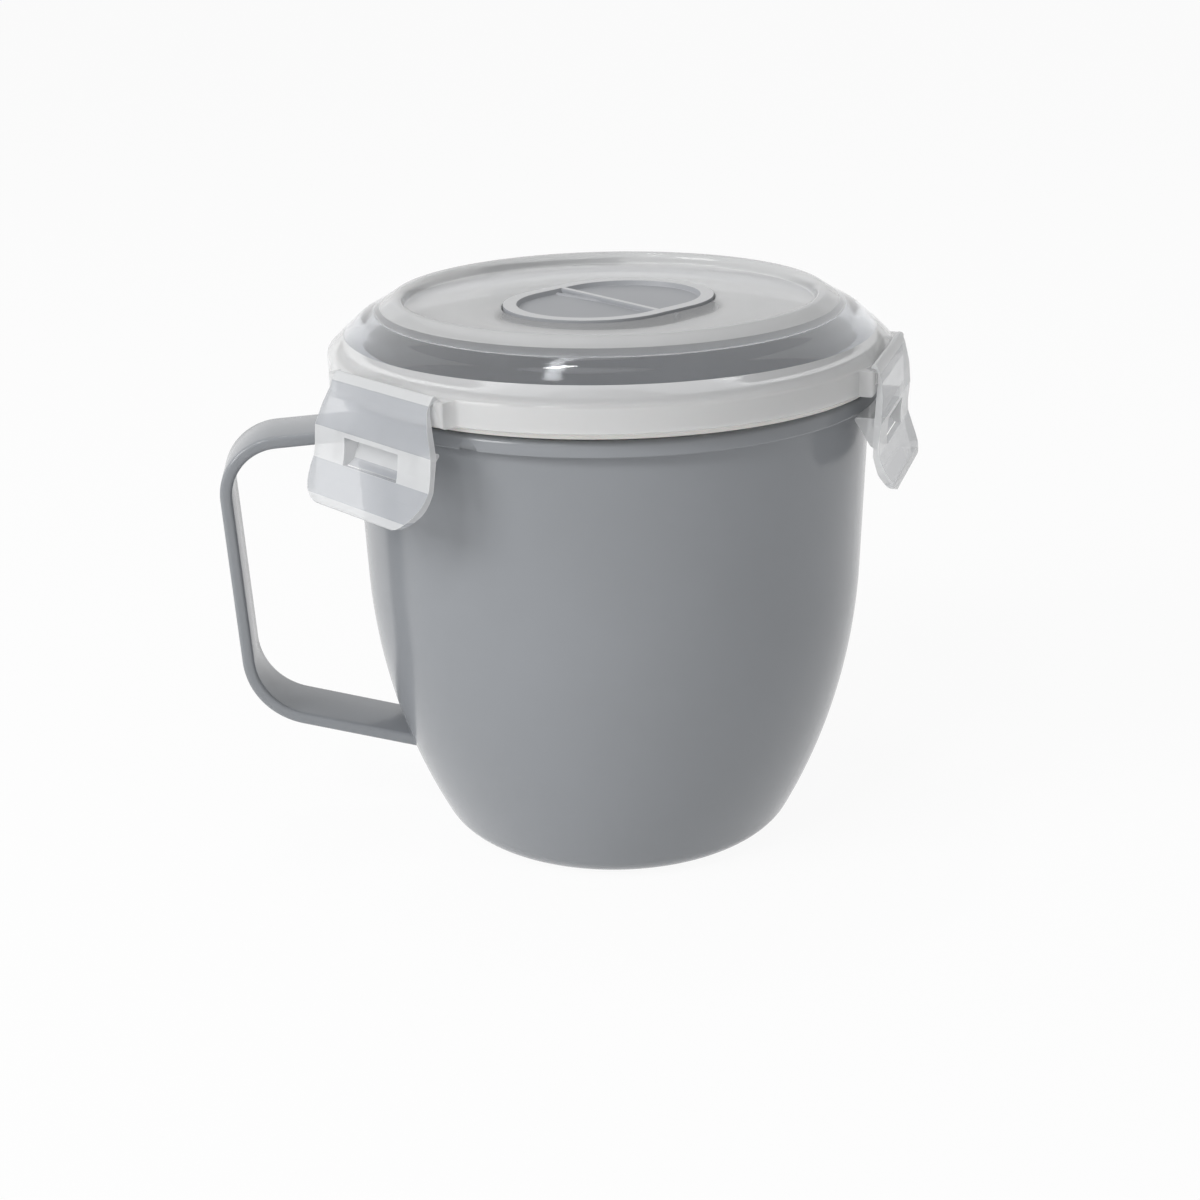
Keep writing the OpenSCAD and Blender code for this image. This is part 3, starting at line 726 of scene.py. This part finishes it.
latch = dict(width=34, tabWidth=41, hookWidth=30, wall=1.5, hingeRound=0.5, hingeGap=0.3,
             gap=0.3, grip=2.1, hookGap=0.3, hookHeight=6.2, hookStep=0.75, tabHeight=10,
             flare=3.4, corner=9, plateRound=3, tabRound=4, waist=0.7, border=1.6, dish=0.4,
             pocketWidth=19, pocketHeight=6, milkyTop=1.6, milkyHook=0.8, milkySide=0.3,
             ajar=10, edge=0.22)
# how far down the plate, and the share of its wall that its face has moved out by there
plateBow = ((0.14, 0.3), (0.33, 0.62), (0.58, 0.92), (1, 1))

plateX = skirtRadius + latch["gap"]
faceX = plateX + latch["wall"]
hingeX = skirtRadius - latch["wall"] / 2
hingeZ = skirtTop + latch["gap"]
hookTop = flangeLow - latch["hookGap"]
hookLow = hookTop - latch["hookHeight"]
hookX = flangeRadius - latch["grip"]
tabLow = hookLow - latch["tabHeight"]


def makeGroove(placed):
    radius = latch["hingeRound"] + latch["hingeGap"]
    line = arcPoints((hingeX, hingeZ), radius, 90, 270, 10)
    line += [(skirtRadius, hingeZ - latch["wall"]),
             (skirtRadius + overrun, hingeZ - latch["wall"]),
             (skirtRadius + overrun, hingeZ + radius)]
    piece = newPiece("groove", drawOut(line, latch["width"] + 2 * latch["gap"]))
    piece.data.transform(placed)
    return piece


# outer face of the tab, moved in by the given depth
def tabFace(depth):
    h, f = latch["hookHeight"], latch["flare"]
    waist = [(plateX + latch["wall"] * 0.76, hookTop - h * latch["waist"]),
             (plateX + latch["wall"] * 0.8, hookTop - h * 1.1)]
    flared = [(faceX + f * 0.3, tabLow + latch["tabHeight"] * 0.6),
              (faceX + f * 0.8, tabLow + latch["tabHeight"] * 0.25)]
    return [(x - depth, z, latch["tabRound"]) for x, z in waist + flared]


# side view of plate and tab: the plate thickens slowly downwards, then the tab flares out
def plateLine():
    v = latch
    drop = hingeZ - hookTop
    plate = [(plateX + v["wall"] * share, hingeZ - drop * down,
              v["plateRound"] if share < 1 else 0)
             for down, share in plateBow]
    tip = faceX + v["flare"]
    return roundedLine(
        [(hingeX - 0.45, hingeZ - 0.25, 0.2), (hingeX - 0.3, hingeZ + 0.5, 0.4),
         (hingeX + 0.6, hingeZ + 0.35, 0.6)] + plate + tabFace(0)
        + [(tip, tabLow + 0.1, 0.7), (tip - v["wall"], tabLow + 0.1, 0.7),
           (faceX + v["flare"] * 0.3 - v["wall"], tabLow + v["tabHeight"] * 0.5,
            v["plateRound"]),
           (plateX, hookLow - v["hookStep"], 0), (plateX, hingeZ - v["wall"], 0.3)], steps=3)


def hookLine():
    root = plateX + latch["wall"] / 2
    low = hookLow - latch["hookStep"]
    return roundedLine(
        [(root, hookTop, 0), (root, low, 0), (plateX - 0.5, low, 0.3),
         (plateX - latch["wall"], hookLow, 0.4), (hookX - 0.1, hookTop - 0.3, 0.5),
         (hookX + 0.5, hookTop, 0.3)], steps=3)


# the latch seen from outside: narrow at the hinge, wide from the hook down, round corners
def latchFront(border):
    v = latch
    top, half, corner = v["width"] / 2 - border, v["tabWidth"] / 2 - border, v["corner"] - border
    above, below, low = hingeZ + 2 * overrun, hingeZ - 2 * v["wall"], tabLow + border
    soft = v["plateRound"]
    line = roundedLine(
        [(-top, above, 0), (-top, below, soft), (-half, hookTop, soft), (-half, low, corner),
         (half, low, corner), (half, hookTop, soft), (top, below, soft), (top, above, 0)],
        steps=8)
    bm = drawOut(line, 4 * skirtRadius)
    bmesh.ops.rotate(bm, verts=bm.verts, cent=(0, 0, 0),
                     matrix=Matrix.Rotation(math.radians(90), 3, 'Z'))
    return newPiece("front", bm)


def makeLatch(name, node, placed, ajar):
    v = latch
    piece = newPiece(name, drawOut(plateLine(), v["tabWidth"] + overrun), latchFrost)
    combine(piece, latchFront(0), 'INTERSECT')
    combine(piece, newPiece("hook", drawOut(hookLine(), v["hookWidth"])), 'UNION')
    pocketTop = hookTop - 0.7 * v["wall"]
    pocketLow = pocketTop - v["pocketHeight"]
    outside = faceX + overrun
    pocket = roundedLine([(outside, pocketTop, 0), (hookX + 1.6 * v["wall"], pocketTop, 0.5),
                          (plateX - v["wall"], pocketLow + v["wall"], 1.0),
                          (plateX, pocketLow, 0.3), (outside, pocketLow, 0)])
    combine(piece, newPiece("pocket", drawOut(pocket, v["pocketWidth"])), 'DIFFERENCE')
    tip = faceX + v["flare"]
    low = tabLow + v["border"]
    dish = newPiece("dish", drawOut(roundedLine(
        tabFace(v["dish"])
        + [(tip - v["dish"], low, 0), (tip + overrun, low, 0),
           (tip + overrun, hookTop - v["hookHeight"] * v["waist"], 0)]),
        v["tabWidth"]))
    combine(dish, latchFront(v["border"]), 'INTERSECT')
    combine(piece, dish, 'DIFFERENCE')
    paintLatch(piece)
    piece.data.transform(
        placed @ Matrix.Translation((hingeX * mm, 0, hingeZ * mm))
        @ Matrix.Rotation(math.radians(-ajar), 4, 'Y')
        @ Matrix.Translation((-hingeX * mm, 0, -hingeZ * mm)))
    softEdges(piece, v["edge"])
    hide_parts(node)
    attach(piece, node)


# the plastic is milkier where it is thick: hinge edge, hook and the frame round the tab
def paintLatch(piece):
    v = latch
    milky = len(piece.data.materials)
    piece.data.materials.append(latchMilky)
    for face in piece.data.polygons:
        centre = face.center / mm
        side = abs(centre.y)
        hook = hookLow - v["milkyHook"] < centre.z < hookTop + 0.1
        pocket = side < v["pocketWidth"] / 2 - 0.1 and plateX - 1.7 < centre.x < faceX - 0.3
        top = centre.z > hingeZ - v["milkyTop"]
        flank = abs(face.normal.y) > 0.7
        frame = side > v["tabWidth"] / 2 - v["border"] - v["milkySide"] and centre.z < hookTop
        rim = centre.z < tabLow + v["border"] + 0.1
        if (hook and not pocket) or top or flank or frame or rim:
            face.material_index = milky


# clear on the sloping wall, milky on the ring bead, satin on the flat top, frosted elsewhere
def paintLid(piece):
    clear, ring, plate = 1, 2, 3
    for material in (lidClear, lidRing, lidPlate):
        piece.data.materials.append(material)
    inner = ringRadius - lid["ringWidth"]
    for face in piece.data.polygons:
        centre = face.center / mm
        radius = centre.xy.length
        wall = footHeight + (footRadius - radius) * domeSlope
        if inner - 0.1 < radius < ringRadius + lid["hazeEdge"] and centre.z > topHeight - 0.1:
            face.material_index = ring
        elif inner < radius < footRadius + lid["clearPast"] and centre.z > ledgeHeight + 0.05 \
                and -lid["clearDeep"] < centre.z - wall < lid["clearProud"]:
            face.material_index = clear
        elif radius < inner + 0.2 and centre.z > underHeight - 0.1:
            face.material_index = plate


makeLid()
for index, side in enumerate(("left", "right", "back")):
    makeLatch("latch" + side.capitalize(), "latch_" + side, aroundLid[index],
              latch["ajar"] if side == "left" else 0)
print("lid and latches ready")


# ---- gasket: an upward U of soft silicone with a lip that meets the rim

gasket = dict(clearance=0.1, leg=1.7, web=2, lipHeight=1, lipWidth=2.2, edge=0.35)


def makeGasket():
    g = gasket
    inner = plugRadius + g["clearance"]
    outer = skirtRadius - lid["wall"] - g["clearance"]
    low = barrel["rimHeight"] + g["lipHeight"]
    middle = (mouthRadius + barrel["wall"] / 4 + flangeRadius - barrel["flangeRound"]) / 2
    lipIn, lipOut = middle - g["lipWidth"] / 2, middle
    e = g["edge"]
    line = roundedLine([
        (lipIn, barrel["rimHeight"], e), (lipOut, barrel["rimHeight"], e), (lipOut, low, e),
        (outer, low, e), (outer, roofHeight, e), (outer - g["leg"], roofHeight, e),
        (outer - g["leg"], low + g["web"], e), (inner + g["leg"], low + g["web"], e),
        (inner + g["leg"], roofHeight, e), (inner, roofHeight, e), (inner, low, e),
        (lipIn, low, e)], steps=3)
    piece = newPiece("rimGasket", spinLine(line, closed=True), whiteSilicone)
    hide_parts("rim_gasket")
    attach(piece, "lid")


# ---- vent: a rocker on two pins, with a post that carries the soft seal

rockerTop = topHeight + vent["proud"]
rockerLow = rockerTop - vent["thickness"]
pivotHeight = rockerLow + vent["pin"] + vent["pinGap"]


def roundPin(bm, radius, length, place, axis=None):
    out = bmesh.ops.create_cone(bm, cap_ends=True, segments=32, radius1=radius * mm,
                                radius2=radius * mm, depth=length * mm)["verts"]
    edges = list({e for v in out for e in v.link_edges
                  if abs(e.verts[0].co.z - e.verts[1].co.z) < weldGap * mm})
    done = bmesh.ops.bevel(bm, geom=edges, offset=radius * 0.2 * mm, offset_type='OFFSET',
                           segments=2, profile=0.5, affect='EDGES', material=-1)
    island = list({v for f in done["faces"] for v in f.verts} | {v for v in out if v.is_valid})
    if axis:
        bmesh.ops.rotate(bm, verts=island, cent=(0, 0, 0),
                         matrix=Matrix.Rotation(math.radians(90), 3, axis))
    bmesh.ops.translate(bm, verts=island, vec=Vector(place) * mm)


def makeRocker():
    v = vent
    bm = bmesh.new()
    ring = bmesh.ops.create_circle(bm, cap_ends=True, segments=v["steps"],
                                   radius=v["radius"] * mm)
    bmesh.ops.rotate(bm, verts=bm.verts, cent=(0, 0, 0),
                     matrix=Matrix.Rotation(math.pi / v["steps"], 3, 'Z'))
    for vert in ring["verts"]:
        vert.co.x += math.copysign(v["span"] / 2 * mm, vert.co.x)
    bmesh.ops.translate(bm, verts=bm.verts, vec=(0, 0, rockerLow * mm))
    out = bmesh.ops.extrude_face_region(bm, geom=bm.faces[:])["geom"]
    top = [g for g in out if isinstance(g, bmesh.types.BMVert)]
    bmesh.ops.translate(bm, verts=top, vec=(0, 0, v["thickness"] * mm))
    face = next(f for f in bm.faces if all(w in top for w in f.verts))
    bmesh.ops.inset_region(bm, faces=[face], thickness=v["rim"] * mm)
    bmesh.ops.inset_region(bm, faces=[face], thickness=v["dishSlope"] * mm,
                           depth=-v["dish"] * mm)
    bmesh.ops.recalc_face_normals(bm, faces=bm.faces)
    piece = newPiece("ventRocker", bm, ventGrey)
    half, root = v["bar"] / 2, rockerTop - v["dish"] - v["barSink"]
    bar = drawOut(roundedLine([
        (-half, root, 0), (-half, rockerTop, v["barRound"]), (half, rockerTop, v["barRound"]),
        (half, root, 0)]), 2 * (v["radius"] - v["rim"] / 2))
    bmesh.ops.rotate(bar, verts=bar.verts, cent=(0, 0, 0),
                     matrix=Matrix.Rotation(math.radians(v["barSkew"]), 3, 'Z'))
    combine(piece, newPiece("bar", bar), 'UNION')
    bm = bmesh.new()
    reach = v["radius"] + v["gap"] + v["wellWall"] / 2
    roundPin(bm, v["pin"], 2 * reach, (0, 0, pivotHeight), 'X')
    postTop = rockerLow + v["postSink"]
    postLow = floorHeight + v["wellWall"]       # in the seal's socket
    roundPin(bm, v["sealRadius"] / 2, postTop - postLow,
             (v["steamReach"], 0, (postTop + postLow) / 2))
    combine(piece, newPiece("pins", bm), 'UNION')
    piece.data.materials.append(ventRim)
    for face in piece.data.polygons:        # the rim and the bar are lighter
        if face.center.z / mm > rockerTop - 0.05:
            face.material_index = 1
    piece.data.transform(Matrix.Rotation(math.radians(v["azimuth"]), 4, 'Z'))
    softEdges(piece, v["edge"], segments=3, angle=40)
    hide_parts("vent_flap")
    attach(piece, "vent_flap")


def makeSeal():
    v = vent
    height = 2 * v["wellWall"]
    socketLow = height / 2
    e = v["sealEdge"]
    line = roundedLine([
        (0, -v["wellWall"], 0), (v["steamRadius"] / 2, -v["wellWall"], e),
        (v["steamRadius"] * 0.75, 0, 0), (v["sealRadius"], 0, e),
        (v["sealRadius"], height, 0.5), (v["sealRadius"] / 2, height, e / 2),
        (v["sealRadius"] / 2, socketLow, 0), (0, socketLow, 0)], closed=False)
    bm = spinLine(line)
    bmesh.ops.translate(bm, verts=bm.verts, vec=(v["steamReach"] * mm, 0, floorHeight * mm))
    bmesh.ops.rotate(bm, verts=bm.verts, cent=(0, 0, 0),
                     matrix=Matrix.Rotation(math.radians(v["azimuth"]), 3, 'Z'))
    piece = newPiece("ventSeal", bm, whiteSilicone)
    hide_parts("vent_seal")
    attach(piece, "vent_flap")


makeGasket()
makeRocker()
makeSeal()
print("gasket and vent ready")


# ---- floor, backdrop and lamps

# glow and fill are shares of white; the lamps are placed in metres and aim at the mug's middle
studio = dict(floor=0.95, floorRough=0.7, floorGlow=0.93, fill=0.33, floorSize=12, aim=0.07)
lamps = dict(
    key=dict(place=(-1.15, -0.75, 0.85), size=(0.6, 0.6), power=11),
    window=dict(place=(-0.50, -0.92, 1.15), size=(0.22, 0.30), power=3.8),
    side=dict(place=(0.80, -0.80, 1.15), size=(0.18, 0.25), power=0.6),
    ceiling=dict(place=(-0.24, 0.15, 1.40), size=(0.26, 0.08), power=1.5))


# 1 where the camera sees the surface, straight or in a reflection or through the clear wall
def seenMask(tree):
    path = addNode(tree, 'ShaderNodeLightPath', -900, 300)
    seen = addNode(tree, 'ShaderNodeMath', -600, 300, operation='ADD', use_clamp=True)
    also = addNode(tree, 'ShaderNodeMath', -400, 300, operation='ADD', use_clamp=True)
    link = tree.links.new
    link(path.outputs["Is Camera Ray"], seen.inputs[0])
    link(path.outputs["Is Glossy Ray"], seen.inputs[1])
    link(seen.outputs[0], also.inputs[0])
    link(path.outputs["Is Transmission Ray"], also.inputs[1])
    return also.outputs[0]


def makeFloor():
    bm = bmesh.new()
    bmesh.ops.create_circle(bm, cap_ends=True, segments=64, radius=studio["floorSize"])
    material = bpy.data.materials.new("paleFloor")
    material.use_nodes = True
    tree = material.node_tree
    shader = tree.nodes["Principled BSDF"]
    shader.inputs["Base Color"].default_value = (*[studio["floor"]] * 3, 1)
    shader.inputs["Roughness"].default_value = studio["floorRough"]
    glow = addNode(tree, 'ShaderNodeEmission', -200, -300)
    share = addNode(tree, 'ShaderNodeMath', -200, 300, operation='MULTIPLY')
    share.inputs[1].default_value = studio["floorGlow"]
    mixed = addNode(tree, 'ShaderNodeMixShader', 100, 100)
    link = tree.links.new
    link(seenMask(tree), share.inputs[0])
    link(share.outputs[0], mixed.inputs["Fac"])
    link(shader.outputs["BSDF"], mixed.inputs[1])
    link(glow.outputs["Emission"], mixed.inputs[2])
    link(mixed.outputs["Shader"], tree.nodes["Material Output"].inputs["Surface"])
    newPiece("floor", bm, material)


def makeBackdrop():
    world = bpy.data.worlds.new("studio")
    world.use_nodes = True
    bpy.context.scene.world = world
    tree = world.node_tree
    sky = tree.nodes["Background"]
    sky.inputs["Color"].default_value = (1, 1, 1, 1)
    level = rangeNode(tree, -200, 300, 0, 1, studio["fill"], 1)
    tree.links.new(seenMask(tree), level.inputs["Value"])
    tree.links.new(level.outputs["Result"], sky.inputs["Strength"])


def makeLamps():
    target = Vector((0, 0, studio["aim"]))
    for name, values in lamps.items():
        data = bpy.data.lights.new(name, 'AREA')
        data.shape = 'RECTANGLE'
        data.size, data.size_y = values["size"]
        data.energy = values["power"]
        lamp = bpy.data.objects.new(name, data)
        lamp.location = values["place"]
        aim = target - lamp.location
        lamp.rotation_euler = aim.to_track_quat('-Z', 'Y').to_euler()
        bpy.context.scene.collection.objects.link(lamp)


makeFloor()
makeBackdrop()
makeLamps()
bpy.context.scene.view_settings.view_transform = 'Standard'
print("studio ready")
